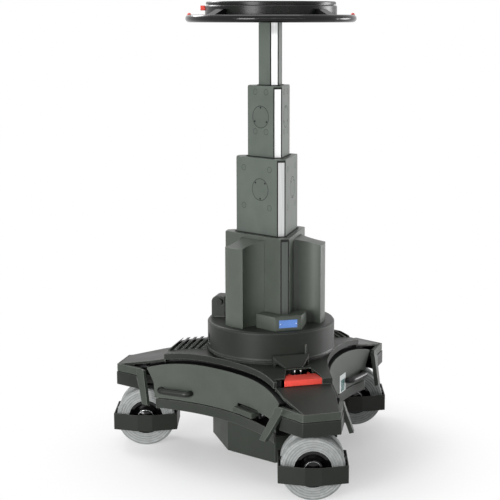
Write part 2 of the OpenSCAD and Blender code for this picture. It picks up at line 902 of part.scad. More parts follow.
// Section of a cylinder cover in the frame of its face: x outwards, y along the face
module cover_section(inset) {
    base_half = 54 - inset;
    edge_half = 39 - inset;
    front = casing_flat + 87 - inset;
    bulge = 160;
    cove = 11;
    back = casing_flat + seat;
    mid = [(front + back) / 2, (edge_half + base_half) / 2];
    len = norm([front - back, base_half - edge_half]);
    hollow = (len * len / 4 + cove * cove) / (2 * cove);
    dir = [(base_half - edge_half) / len, (front - back) / len];
    difference() {
        intersection() {
            polygon([[back, -base_half], [front, -edge_half], [front + 8, 0], [front, edge_half], [back, base_half]]);
            translate([front - bulge + edge_half * edge_half / (2 * bulge), 0]) circle(bulge, $fn = 180);
        }
        for (m = [-1, 1]) translate([mid[0] + dir[0] * (hollow - cove), m * (mid[1] + dir[1] * (hollow - cove))])
            circle(hollow, $fn = 180);
    }
}

module cylinder_covers() {
    roof_slope = 12.5;
    roof_back = 737;
    color(cover_grey) for (a = FACES) rotate(a) difference() {
        translate([0, 0, drum_top]) linear_extrude(roof_back - drum_top + 5) cover_section(0);
        difference() {
            translate([0, 0, drum_top - 1]) linear_extrude(roof_back - drum_top) cover_section(cover_wall);
            translate([casing_flat, -100, roof_back - cover_wall]) rotate([0, roof_slope, 0])
                translate([-40, 0, 0]) cube([240, 200, 100]);
        }
        translate([casing_flat, -100, roof_back]) rotate([0, roof_slope, 0])
            translate([-40, 0, 0]) cube([240, 200, 100]);
    }
}

module gas_cylinders() {
    tank_r = 28;
    tank_top = 690;
    color(steel) for (a = FACES) rotate(a) translate([casing_flat + 42, 0, drum_top]) rotate_extrude() {
        square([tank_r, tank_top - drum_top - tank_r]);
        intersection() {
            translate([0, tank_top - drum_top - tank_r]) circle(tank_r);
            square([tank_r, tank_top - drum_top]);
        }
    }
}

// Box round the foot of the casing's front corner, with a bare plate on its front
module label_box() {
    half = 44;
    front = 190;
    h = 46;
    side = 88;
    color(casing_grey) difference() {
        translate([0, 0, drum_top]) linear_extrude(h) difference() {
            polygon([[-half, -front], [half, -front], [half + side * cos(60), -front + side * sin(60)], [40, -60],
                [-40, -60], [-half - side * cos(60), -front + side * sin(60)]]);
            tri(casing_flat + seat, casing_corner + seat);
            for (a = FACES) rotate(a) {
                translate([casing_flat - 1, -60]) square([120, 120]);
            }
        }
        translate([-half - 1, -front - 1, drum_top + h - 8]) rotate([35, 0, 0]) cube([2 * half + 2, 40, 40]);
        translate([-31, -front - 1, drum_top + 9]) cube([62, 2, 27]);
    }
}

module mode_pedal() {
    top_z = panel_step_z + pedal_t;
    rise = 2.5;
    ear_w = 8;
    plate_r = deck_step_r - 53;
    color(signal_red) on_arm(-90) difference() {
        union() {
            intersection() {
                translate([deck_step_r, 0, top_z]) rotate([0, rise, 0]) translate([-150, -100, -pedal_t + 1])
                    cube([200, 200, pedal_t - 1]);
                linear_extrude(far) pedal_outline(0);
                translate([plate_r, -100, 0]) cube([200, 200, far]);
            }
            for (y = [-pedal_left_s + 2, pedal_right_s - ear_w - 2]) {
                translate([pedal_pin_r, y, pedal_pin_z]) rotate([-90, 0, 0]) cylinder(h = ear_w, r = 8);
                translate([pedal_pin_r - 8, y, pedal_pin_z]) cube([plate_r - pedal_pin_r + 12, ear_w, 10]);
            }
        }
        pedal_bore(pin_r + run_fit);
    }
}

module pedal_pins() {
    color(steel) {
        on_arm(-90) pedal_bore(pin_r);
        for (a = FACES) on_face(a, treadle_phi)
            translate([-12, -treadle_half - 12, treadle_z]) rotate([-90, 0, 0])
                cylinder(h = 2 * treadle_half + 24, r = pin_r);
    }
}

// Foot treadle of a wheel brake, hinged behind the side panel
module brake_pedal(a) {
    color(dark_grey) on_face(a, treadle_phi) difference() {
        union() {
            translate([-12, -treadle_half, treadle_z]) rotate([-90, 0, 0]) cylinder(h = 2 * treadle_half, r = 8);
            translate([-12, -treadle_half, treadle_z - 4]) cube([treadle_reach, 2 * treadle_half, 8]);
            translate([4, -treadle_half, treadle_z - 9]) cube([treadle_reach - 4, 2 * treadle_half, 17]);
        }
        translate([-12, -100, treadle_z]) rotate([-90, 0, 0]) cylinder(h = 200, r = pin_r + run_fit);
    }
}

module steering_shaft() {
    color(steel) {
        translate([0, 0, foot + 20]) cylinder(h = sprocket_z - foot - 20, r = shaft_journal_r - run_fit);
        for (i = [0 : 2])
            translate([0, 0, sprocket_z + i * chain_pitch_z + (chain_h - sprocket_t) / 2])
                cylinder(h = sprocket_t, r = sprocket_r);
        translate([0, 0, sprocket_z - 5]) cylinder(h = 3 * chain_pitch_z + 4, r = 20);
        translate([0, 0, sprocket_z + 10]) cylinder(h = stage_2_bottom + 140 - sprocket_z, r = rod_hex_r, $fn = 6);
    }
}

module steering_tube_mid() {
    top = stage_2_top - 12;
    journal = guide_t + 6;
    color(steel) difference() {
        union() {
            translate([0, 0, stage_2_bottom]) cylinder(h = journal, r = mid_journal_r);
            translate([0, 0, stage_2_bottom + guide_t + seat]) cylinder(h = 5, r = 13);
            translate([0, 0, stage_2_bottom + journal - 1]) cylinder(h = top - stage_2_bottom - journal, r = mid_hex_r, $fn = 6);
        }
        translate([0, 0, stage_2_bottom - 1]) cylinder(h = top, r = rod_hex_r + hex_gap, $fn = 6);
    }
}

module steering_tube_top() {
    color(steel) difference() {
        union() {
            translate([0, 0, stage_3_bottom + 2]) cylinder(h = stage_3_top - stage_3_bottom - 6, r = tube_top_r);
            translate([0, 0, stage_3_bottom + guide_t + seat]) cylinder(h = 5, r = tube_top_r + 5);
        }
        translate([0, 0, stage_3_bottom - 1]) cylinder(h = stage_3_top, r = mid_hex_r + hex_gap, $fn = 6);
    }
}

// Fixed top plate: a spigot that the disc turns on, and a drilled flange
module head_plate() {
    flange_t = 8;
    color(black) difference() {
        union() {
            translate([0, 0, stage_3_top]) cylinder(h = disc_top - stage_3_top, r = boss_r);
            translate([0, 0, disc_top - flange_t]) cylinder(h = flange_t, r = plate_r);
        }
        translate([0, 0, stage_3_top - 1]) cylinder(h = 200, r = 19);
        for (i = [0 : 3]) rotate(i * 90 + 45)
            translate([bolt_circle_r, 0, disc_top - flange_t - 1]) cylinder(h = 20, r = bolt_hole_r);
    }
}

module head_disc() {
    rim = 12;
    recess = 10;
    color(black) rotate(steer) difference() {
        translate([0, 0, disc_bottom]) rotate_extrude($fn = 180) polygon([[boss_r + run_fit, 0], [disc_r, 0],
            [disc_r, disc_h - 15], [disc_r - 3, disc_h - 12], [disc_r - 9, disc_h - 12],
            [disc_r - 9, disc_h - 9], [disc_r - 3, disc_h - 9], [disc_r - 3, disc_h - 3],
            [disc_r - 6, disc_h], [disc_r - rim - 6, disc_h], [disc_r - rim - 8, disc_h - recess],
            [plate_r + 3, disc_h - recess], [plate_r + 3, disc_h - 8 - seat], [boss_r + run_fit, disc_h - 8 - seat]]);
        translate([-disc_r + 10, 0, knob_z]) rotate([0, -90, 0]) cylinder(h = 30, r = 4);
    }
}

module steering_ring() {
    spoke_w = 34;
    spoke_in = 182;
    gusset_h = 18;
    color(black) rotate(steer) {
        translate([0, 0, ring_z]) rotate_extrude($fn = 180) translate([ring_mid_r, 0]) circle(ring_tube, $fn = 48);
        for (i = [0 : 3]) rotate(45 + 90 * i)
            translate([0, spoke_w / 2, 0]) rotate([90, 0, 0]) linear_extrude(spoke_w)
                polygon([[spoke_in, ring_z - 1], [ring_mid_r, ring_z - 1], [ring_mid_r, ring_z + ring_tube - 1],
                    [disc_r + 12, disc_bottom + gusset_h], [disc_r + seat, disc_bottom + gusset_h],
                    [disc_r + seat, disc_bottom], [spoke_in, disc_bottom]]);
    }
}

module head_knob() {
    color(signal_red) rotate(steer) translate([-disc_r, 0, knob_z]) rotate([0, -90, 0]) {
        translate([0, 0, -6]) cylinder(h = 10, r = 4 - run_fit);
        translate([0, 0, seat]) cylinder(h = 14, r = 8);
    }
}

// Swivel stem, crown and central leg with its stub axles
module yoke(a) {
    color(dark_grey) at_caster(a) {
        translate([0, 0, crown_top - 1]) cylinder(h = sprocket_z + 2 * chain_pitch_z + 12 - crown_top, r = stem_r - run_fit);
        translate([0, 0, crown_bottom]) cylinder(h = crown_top - crown_bottom, r = 50);
        translate([-yoke_half, -leg_t / 2, wheel_r]) cube([2 * yoke_half, leg_t, crown_top - wheel_r - 2]);
        translate([0, leg_t / 2, wheel_r]) rotate([90, 0, 0]) cylinder(h = leg_t, r = yoke_half);
        translate([0, twin_pitch / 2 + tyre_w / 2 + 4, wheel_r]) rotate([90, 0, 0])
            cylinder(h = twin_pitch + tyre_w + 8, r = axle_r);
    }
}

// Chain wheel on a caster's stem, at the level of its own chain
module sprocket(a, level) {
    color(steel) at_caster(a)
        translate([0, 0, sprocket_z + level * chain_pitch_z + (chain_h - sprocket_t) / 2]) difference() {
            cylinder(h = sprocket_t, r = sprocket_r);
            translate([0, 0, -1]) cylinder(h = sprocket_t + 2, r = stem_r - run_fit);
        }
}

// Outline of the cable guard, drawn in by inset
module guard_outline(inset) {
    x = guard_x - inset;
    y = guard_y - inset;
    nose = 25;
    drop = 22;
    polygon([[-x, drop - y], [-nose, -y], [nose, -y], [x, drop - y], [x, y - drop], [nose, y], [-nose, y], [-x, y - drop]]);
}

module guard(a) {
    stay_h = 16;
    color(dark_grey) at_caster(a) {
        translate([0, 0, guard_bottom]) linear_extrude(guard_h) difference() {
            guard_outline(0);
            guard_outline(guard_wall);
        }
        for (m = [0, 1]) mirror([m, 0, 0])
            translate([yoke_half, -leg_t / 2, guard_bottom + guard_h - stay_h])
                cube([guard_x - guard_wall / 2 - yoke_half, leg_t, stay_h]);
    }
}

// Moulded tyre: rounded tread with grooves, on a flat seat
module tyre(a, side) {
    groove = 2;
    round_r = 9;
    rib_step = (wheel_r - round_r - hub_r) / 4;
    color(tyre_grey) at_caster(a) translate([0, side * twin_pitch / 2, wheel_r]) rotate([90, 0, 0])
        rotate_extrude($fn = 180) difference() {
            union() {
                translate([hub_r, -tyre_w / 2]) square([wheel_r - round_r - hub_r, tyre_w]);
                translate([hub_r, -tyre_w / 2 + round_r]) square([wheel_r - hub_r, tyre_w - 2 * round_r]);
                for (y = [-1, 1]) translate([wheel_r - round_r, y * (tyre_w / 2 - round_r)]) circle(round_r, $fn = 48);
            }
            for (y = [-1, 0, 1]) translate([wheel_r - groove, y * 6 - 0.8]) square([groove + 1, 1.6]);
            for (y = [-1, 1]) for (i = [1 : 3])
                translate([hub_r + i * rib_step, y * tyre_w / 2]) circle(1.6, $fn = 24);
        }
}

// Wheel centre: web, rim and domed cap, running on the stub axle
module hub(a, side) {
    half = tyre_w / 2;
    bore = axle_r + run_fit;
    color(black) at_caster(a) translate([0, side * twin_pitch / 2, wheel_r]) rotate([90 * side, 0, 0])
        rotate_extrude($fn = 120)
            polygon([[bore, half - 2], [bore, -half - 7], [0, -half - 7], [0, -half - 12], [12, -half - 12],
                [24, -half - 9], [30, -half - 3], [32, -4], [hub_r - 14, -6], [hub_r - 10, 1 - half],
                [hub_r, 1 - half], [hub_r, half - 2], [hub_r - 8, half - 2], [hub_r - 8, 6], [28, 6],
                [28, half - 2]]);
}

chassis_frame();
deck_cover();
skirt_panels();
arm_caps();
bumper_straps();
drum();
under_pan();
pedal_guard();
side_bars();
steering_chains();
column_casing();
casing_strips();
casing_seal();
cylinder_covers();
gas_cylinders();
label_box();
valve_knob();
mode_pedal();
pedal_pins();
brake_pedal(FACES[0]);  // brake_pedal_1
brake_pedal(FACES[1]);  // brake_pedal_2
brake_pedal(FACES[2]);  // brake_pedal_3
stage_1();
stage_1_strips();
stage_1_seal();
stage_1_covers();
stage_2();
stage_2_strips();
stage_2_seal();
stage_2_covers();
stage_3();
stage_3_strips();
head_plate();
steering_shaft();
steering_tube_mid();
steering_tube_top();
steering_ring();
head_disc();
head_knob();
yoke(ARMS[0]);  // yoke_a
sprocket(ARMS[0], 0);  // sprocket_a
guard(ARMS[0]);  // guard_a
tyre(ARMS[0], -1);  // tyre_a_1
hub(ARMS[0], -1);  // hub_a_1
tyre(ARMS[0], 1);  // tyre_a_2
hub(ARMS[0], 1);  // hub_a_2
yoke(ARMS[2]);  // yoke_b
sprocket(ARMS[2], 2);  // sprocket_b
guard(ARMS[2]);  // guard_b
tyre(ARMS[2], -1);  // tyre_b_1
hub(ARMS[2], -1);  // hub_b_1
tyre(ARMS[2], 1);  // tyre_b_2
hub(ARMS[2], 1);  // hub_b_2
yoke(ARMS[1]);  // yoke_c
sprocket(ARMS[1], 1);  // sprocket_c
guard(ARMS[1]);  // guard_c
tyre(ARMS[1], -1);  // tyre_c_1
hub(ARMS[1], -1);  // hub_c_1
tyre(ARMS[1], 1);  // tyre_c_2
hub(ARMS[1], 1);  // hub_c_2
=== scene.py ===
import math

import bmesh
import bpy
from mathutils import Matrix, Vector


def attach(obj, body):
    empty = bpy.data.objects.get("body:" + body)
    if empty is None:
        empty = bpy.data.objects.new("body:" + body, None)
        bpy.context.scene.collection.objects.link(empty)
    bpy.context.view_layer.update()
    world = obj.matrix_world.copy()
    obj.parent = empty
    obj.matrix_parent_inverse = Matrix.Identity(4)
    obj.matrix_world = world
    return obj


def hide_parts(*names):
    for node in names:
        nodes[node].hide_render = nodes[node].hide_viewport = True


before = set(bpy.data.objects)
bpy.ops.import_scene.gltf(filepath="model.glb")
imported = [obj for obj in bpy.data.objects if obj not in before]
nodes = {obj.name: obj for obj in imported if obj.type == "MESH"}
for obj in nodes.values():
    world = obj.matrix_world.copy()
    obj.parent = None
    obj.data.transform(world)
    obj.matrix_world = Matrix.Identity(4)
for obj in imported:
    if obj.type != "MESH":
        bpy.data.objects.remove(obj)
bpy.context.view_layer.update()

# Places that the part's source gives, in metres and degrees
ARMS = {"a": -90, "b": 150, "c": 30}
FACES = (-150, -30, 90)
STEER = -16.9
CASTER_R = 0.439
WHEEL_R = 0.1
TWIN_PITCH = 0.076
TYRE_W = 0.036
RING_Z = 1.442
RING_R = 0.262
RING_TOP = RING_Z + 0.0112
# Each concave side is an arc of this radius, its centre this far from the column's axis
ARC_D, ARC_R = 0.8485, 0.6355
TRAY_TOP = 0.165
PLATE_Y, PLATE_Z = -0.1896, 0.4815
LOUVRE_R, LOUVRE_Z = 0.2075, 0.402
# Corner strips: how far out they are, and their lower and upper end
STRIPS = {
    "casing": (0.152, 0.462, 0.748),
    "stage_1": (0.1135, 0.5, 0.996),
    "stage_2": (0.0745, 0.706, 1.226),
    "stage_3": (0.0378, 0.912, 1.43),
}


# Frames

def turn(degrees, axis="Z"):
    return Matrix.Rotation(math.radians(degrees), 4, axis)


def move(x, y, z):
    return Matrix.Translation((x, y, z))


def on_side(face, phi, out, z):
    """A place on a concave side of the base: x outwards from the panel, y along it."""
    return turn(face) @ move(ARC_D, 0, 0) @ turn(phi) @ move(out - ARC_R, 0, z)


def at_caster(key):
    a = math.radians(ARMS[key])
    return move(CASTER_R * math.cos(a), CASTER_R * math.sin(a), 0) @ turn(STEER)


# Modelling

def clear():
    if bpy.context.object and bpy.context.object.mode != "OBJECT":
        bpy.ops.object.mode_set(mode="OBJECT")
    bpy.ops.object.select_all(action="DESELECT")


def pick(*pieces):
    """Leaves only these pieces selected, the first of them active."""
    clear()
    for piece in pieces:
        piece.select_set(True)
    bpy.context.view_layer.objects.active = pieces[0]


def named(name):
    piece = bpy.context.object
    piece.name = name
    piece.data.name = name
    bpy.ops.object.transform_apply(location=True, rotation=True, scale=True)
    return piece


def block(name, size, at=(0, 0, 0)):
    """A cube primitive at its size and place."""
    clear()
    bpy.ops.mesh.primitive_cube_add(size=1, location=at, scale=size)
    return named(name)


def rod(name, radius, depth, at, sides):
    """An upright cylinder primitive, its middle at the place given."""
    clear()
    bpy.ops.mesh.primitive_cylinder_add(vertices=sides, radius=radius, depth=depth, location=at)
    return named(name)


def faces_where(piece, test):
    """Goes into edit mode with the faces that pass the test selected."""
    pick(piece)
    bpy.ops.object.mode_set(mode="EDIT")
    bpy.ops.mesh.select_mode(type="FACE")
    bpy.ops.mesh.select_all(action="DESELECT")
    mesh = bmesh.from_edit_mesh(piece.data)
    for face in mesh.faces:
        face.select_set(bool(test(face.calc_center_median(), face.normal)))
    bmesh.update_edit_mesh(piece.data)


def every_face(piece):
    faces_where(piece, lambda c, n: True)


def back_to_object():
    bpy.ops.object.mode_set(mode="OBJECT")


def sink(piece, test, inset, depth):
    """Insets the faces that pass the test and pushes them along their normal."""
    faces_where(piece, test)
    bpy.ops.mesh.inset(thickness=inset, depth=depth)
    back_to_object()


def rounded(piece, width, segments=3, angle=35):
    pick(piece)
    bevel = piece.modifiers.new("edges", "BEVEL")
    bevel.width = width
    bevel.segments = segments
    bevel.limit_method = "ANGLE"
    bevel.angle_limit = math.radians(angle)
    bpy.ops.object.modifier_apply(modifier="edges")
    return piece


def joined(pieces, name):
    pick(*pieces)
    if len(pieces) > 1:
        bpy.ops.object.join()
    whole = bpy.context.object
    whole.name = name
    whole.data.name = name
    return whole


def spread(pattern, places, name):
    """Copies a finished pattern to each place, joins the copies and removes the pattern."""
    made = []
    for place in places:
        copy = pattern.copy()
        copy.data = pattern.data.copy()
        copy.data.transform(place)
        bpy.context.scene.collection.objects.link(copy)
        made.append(copy)
    bpy.data.objects.remove(pattern)
    return joined(made, name)


def fitted(piece, body, finish, smooth=32, stands_for=()):
    """Shading, finish, material slot and the body that the piece moves with."""
    pick(piece)
    bpy.ops.object.shade_smooth_by_angle(angle=math.radians(smooth))
    piece.data.materials.clear()
    piece.data.materials.append(finish)
    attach(piece, body)
    if stands_for:
        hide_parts(*stands_for)
    return piece


# Finishes

def colour(code):
    """An sRGB hex value as a linear colour."""
    parts = [int(code[i:i + 2], 16) / 255 for i in (1, 3, 5)]
    return tuple(c / 12.92 if c <= 0.04045 else ((c + 0.055) / 1.055) ** 2.4 for c in parts) + (1.0,)


def add(tree, kind, inputs=None, **settings):
    """Adds a node with its settings; an input is a number or the socket that feeds it."""
    node = tree.nodes.new("ShaderNode" + kind)
    for key, value in settings.items():
        setattr(node, key, value)
    for key, value in (inputs or {}).items():
        if isinstance(value, bpy.types.NodeSocket):
            tree.links.new(value, node.inputs[key])
        else:
            node.inputs[key].default_value = value
    return node


def blank(name, **sockets):
    """A new material with its shader's constants set on the shader's own sockets."""
    finish = bpy.data.materials.new(name)
    finish.use_nodes = True
    shader = finish.node_tree.nodes["Principled BSDF"]
    for key, value in sockets.items():
        shader.inputs[key.replace("_", " ")].default_value = value
    return finish, finish.node_tree, shader


def feed(tree, shader, **sockets):
    for key, value in sockets.items():
        tree.links.new(value, shader.inputs[key.replace("_", " ")])


def behind_sides(tree, place, gap):
    """1 for what lies above the tray and behind all the concave sides by more than the gap, else 0: where
    black is painted in as shade.
    """
    flatten = add(tree, "VectorMath", {0: place, 1: (1, 1, 0)}, operation="MULTIPLY")
    near = None
    for face in FACES:
        centre = turn(face) @ Vector((ARC_D, 0, 0))
        away = add(tree, "VectorMath", {0: flatten.outputs["Vector"], 1: centre},
                   operation="DISTANCE").outputs["Value"]
        if near is None:
            near = away
        else:
            near = add(tree, "Math", {0: near, 1: away}, operation="MINIMUM").outputs["Value"]
    inside = add(tree, "MapRange", {"Value": near, "From Min": ARC_R + gap, "From Max": ARC_R + gap + 0.001,
                                    "To Min": 0.0, "To Max": 1.0}, clamp=True)
    height = add(tree, "SeparateXYZ", {"Vector": place})
    above = add(tree, "Math", {0: height.outputs["Z"], 1: TRAY_TOP}, operation="GREATER_THAN")
    both = add(tree, "Math", {0: inside.outputs["Result"], 1: above.outputs["Value"]}, operation="MULTIPLY")
    return both.outputs["Value"]


def satin_shell(name, code, rough, level, grain_mm, depth_mm, edge_mm, wear_and_highlight, dust, painted_shade=None):
    """Moulded or painted satin skin: a fine grain, soft blotches of tone, edges a little paler from rubbing
    and from painted highlight, and a trace of dust on what faces up. What lies behind the concave sides by
    more than lined is painted black, as shade."""
    finish, tree, shader = blank(name, Specular_IOR_Level=level)
    place = add(tree, "TexCoord").outputs["Object"]
    # blotches about 90 mm across
    blotch = add(tree, "TexNoise", {"Vector": place, "Scale": 1 / 0.09, "Detail": 4.0,
                                    "Roughness": 0.6}).outputs["Fac"]
    grain = add(tree, "TexNoise", {"Vector": place, "Scale": 1000 / grain_mm, "Detail": 2.0})
    soft = add(tree, "Bevel", {"Radius": edge_mm * 0.001}, samples=6)
    flat = add(tree, "NewGeometry")
    along = add(tree, "VectorMath", {0: soft.outputs["Normal"], 1: flat.outputs["Normal"]},
                operation="DOT_PRODUCT")
    # edges paler in one mask: rubbed wear and a painted highlight along every edge
    edge = add(tree, "MapRange", {"Value": along.outputs["Value"], "From Min": 0.99, "From Max": 0.75,
                                  "To Min": 0.0, "To Max": wear_and_highlight}, clamp=True)
    up = add(tree, "SeparateXYZ", {"Vector": flat.outputs["Normal"]})
    lying = add(tree, "MapRange", {"Value": up.outputs["Z"], "From Min": 0.6, "From Max": 1.0,
                                   "To Min": 0.0, "To Max": dust}, clamp=True)
    speck = add(tree, "Math", {0: lying.outputs["Result"], 1: blotch}, operation="MULTIPLY")
    tone = add(tree, "MapRange", {"Value": blotch, "From Min": 0.3, "From Max": 0.7,
                                  "To Min": 0.88, "To Max": 1.1})
    base = add(tree, "Mix", {6: colour(code), 7: tone.outputs["Result"], "Factor": 1.0},
               data_type="RGBA", blend_type="MULTIPLY")
    rubbed_and_highlit = add(tree, "Mix", {6: base.outputs[2], 7: colour("#a9aea6"), "Factor": edge.outputs["Result"]},
                 data_type="RGBA")
    dusty = add(tree, "Mix", {6: rubbed_and_highlit.outputs[2], 7: colour("#9b9d97"), "Factor": speck.outputs["Value"]},
                data_type="RGBA")
    skin = dusty.outputs[2]
    # painted shade: black on all that lies behind the concave sides
    if painted_shade:
        painted_shade_mask = behind_sides(tree, place, painted_shade)
        black = add(tree, "Mix", {6: skin, 7: colour("#070807"), "Factor": painted_shade_mask}, data_type="RGBA")
        skin = black.outputs[2]
    sheen = add(tree, "MapRange", {"Value": blotch, "From Min": 0.25, "From Max": 0.75,
                                   "To Min": rough - 0.05, "To Max": rough + 0.07})
    bump = add(tree, "Bump", {"Height": grain.outputs["Fac"], "Strength": 0.35,
                              "Distance": depth_mm * 0.001, "Normal": soft.outputs["Normal"]})
    feed(tree, shader, Base_Color=skin, Roughness=sheen.outputs["Result"], Normal=bump.outputs["Normal"])
    return finish


# Tray: moulded ABS, dark grey-green and satin with the fine spark grain of the mould; its inner lip is
# painted black as shade
tray_abs = satin_shell("moulded_abs_tray", "#2b2f2a", rough=0.42, level=0.25, grain_mm=1.6, depth_mm=0.12,
                       edge_mm=3.0, wear_and_highlight=0.3, dust=0.08, painted_shade=0.003)
# The deck is the same resin, made darker as painted shade since its up-facing faces get little light; the
# drum and arm caps share it. Its edges are paler where feet scuff them and from painted highlight
deck_abs_shaded = satin_shell("moulded_abs_deck_shaded", "#1b1f1a", rough=0.42, level=0.25, grain_mm=1.8, depth_mm=0.12,
                       edge_mm=4.0, wear_and_highlight=0.35, dust=0.05)
# Side panels have a flatter, paler skin than the deck; behind their edges all is painted black as shade
panel_abs = satin_shell("moulded_abs_side_panel", "#454a44", rough=0.44, level=0.3, grain_mm=1.6,
                        depth_mm=0.1, edge_mm=1.5, wear_and_highlight=0.25, dust=0.05, painted_shade=0.0022)
# Bumpers: paler at the edges, rubbed from knocks and lit by a painted highlight
bumper_abs = satin_shell("moulded_abs_bumper", "#393e38", rough=0.42, level=0.3, grain_mm=1.6, depth_mm=0.12,
                         edge_mm=3.0, wear_and_highlight=0.4, dust=0.06)
# Column tubes: powder coat on extruded aluminium, an even satin with a faint orange peel
powder_coat = satin_shell("powder_coat_column", "#545b55", rough=0.4, level=0.3, grain_mm=2.6, depth_mm=0.05,
                          edge_mm=1.2, wear_and_highlight=0.3, dust=0.05)
# Casing and cylinder covers: the same coat in the darker tone of the base
casing_coat = satin_shell("powder_coat_casing", "#474d46", rough=0.38, level=0.35, grain_mm=2.6,
                          depth_mm=0.05, edge_mm=1.8, wear_and_highlight=0.4, dust=0.05)
# Cable guards, yokes and shield: near-black nylon with a dull, even grain
black_nylon = satin_shell("glass_filled_nylon_black", "#191c17", rough=0.5, level=0.25, grain_mm=1.4,
                          depth_mm=0.12, edge_mm=1.5, wear_and_highlight=0.2, dust=0.06)
# Pedal: signal red moulded plastic, its edges a little pale from wear and from painted highlight
red_plastic = satin_shell("moulded_plastic_red", "#ea5044", rough=0.42, level=0.3, grain_mm=1.6,
                          depth_mm=0.06, edge_mm=2.0, wear_and_highlight=0.1, dust=0.02)
# Face covers and plugs take the column's coat, a shade darker
cover_coat = satin_shell("powder_coat_face_covers", "#515852", rough=0.42, level=0.3, grain_mm=2.6,
                         depth_mm=0.05, edge_mm=0.6, wear_and_highlight=0.1, dust=0.03)


def polished_strip(name, code, rough):
    """Drawn and polished steel: bright, with fine lines along its length."""
    finish, tree, shader = blank(name, Metallic=1.0)
    place = add(tree, "TexCoord").outputs["Object"]
    # drawn lines 1.2 mm apart, as coarse as they need to be to show in the render, 150 mm long
    lines = add(tree, "Mapping", {"Vector": place, "Scale": (1 / 0.0012, 1 / 0.0012, 1 / 0.15)})
    drawn = add(tree, "TexNoise", {"Vector": lines.outputs["Vector"], "Scale": 1.0, "Detail": 3.0})
    # rubbed patches about 60 mm across
    rub = add(tree, "TexNoise", {"Vector": place, "Scale": 1 / 0.06, "Detail": 3.0})
    tone = add(tree, "MapRange", {"Value": drawn.outputs["Fac"], "From Min": 0.3, "From Max": 0.7,
                                  "To Min": 0.82, "To Max": 1.1})
    base = add(tree, "Mix", {6: colour(code), 7: tone.outputs["Result"], "Factor": 1.0},
               data_type="RGBA", blend_type="MULTIPLY")
    sheen = add(tree, "MapRange", {"Value": rub.outputs["Fac"], "From Min": 0.3, "From Max": 0.7,
                                   "To Min": rough - 0.06, "To Max": rough + 0.08})
    bump = add(tree, "Bump", {"Height": drawn.outputs["Fac"], "Strength": 0.2, "Distance": 0.0001})
    feed(tree, shader, Base_Color=base.outputs[2], Roughness=sheen.outputs["Result"],
         Normal=bump.outputs["Normal"])
    return finish


# Wear strips: near white on the upper stages, greyer on stage 1, dull and dark on the casing
bright_strip = polished_strip("polished_steel_strip", "#f6f6f6", 0.34)
lined_strip = polished_strip("polished_steel_strip_in_use", "#cfd1d0", 0.36)
dull_strip = polished_strip("worn_steel_strip", "#5d615e", 0.42)
# Shafts, pins, chains and cylinders: plain bright steel
turned_steel = polished_strip("bright_drawn_steel", "#b9bbbc", 0.3)


def gloss_black(name, code, rough, level):
    """Black lacquer or polished moulding: deep and shiny, with faint hand marks in the gloss."""
    finish, tree, shader = blank(name, Base_Color=colour(code), Specular_IOR_Level=level)
    place = add(tree, "TexCoord").outputs["Object"]
    # hand marks about 30 mm across
    marks = add(tree, "TexNoise", {"Vector": place, "Scale": 1 / 0.03, "Detail": 5.0, "Roughness": 0.65})
    sheen = add(tree, "MapRange", {"Value": marks.outputs["Fac"], "From Min": 0.35, "From Max": 0.7,
                                   "To Min": rough, "To Max": rough + 0.04})
    feed(tree, shader, Roughness=sheen.outputs["Result"])
    return finish


ring_lacquer = gloss_black("black_lacquer_ring", "#040504", 0.14, 0.3)
disc_lacquer = gloss_black("black_anodised_disc", "#0e110e", 0.26, 0.2)
hub_gloss = gloss_black("polished_black_nylon_hub", "#060706", 0.1, 0.35)
tube_gloss = gloss_black("black_coated_tube", "#161915", 0.34, 0.35)


def matte_rubber(name, code, rough):
    """Moulded rubber: dark, matt and slightly bloomed."""
    finish, tree, shader = blank(name, Specular_IOR_Level=0.3)
    place = add(tree, "TexCoord").outputs["Object"]
    # bloom in spots about 12 mm across
    bloom = add(tree, "TexNoise", {"Vector": place, "Scale": 1 / 0.012, "Detail": 4.0}).outputs["Fac"]
    dust = add(tree, "MapRange", {"Value": bloom, "From Min": 0.3, "From Max": 0.8,
                                  "To Min": 0.0, "To Max": 0.2}, clamp=True)
    base = add(tree, "Mix", {6: colour(code), 7: colour("#3b3d3a"), "Factor": dust.outputs["Result"]},
               data_type="RGBA")
    sheen = add(tree, "MapRange", {"Value": bloom, "To Min": rough, "To Max": rough + 0.15})
    feed(tree, shader, Base_Color=base.outputs[2], Roughness=sheen.outputs["Result"])
    return finish


seal_rubber = matte_rubber("nitrile_rubber_seal", "#060706", 0.6)


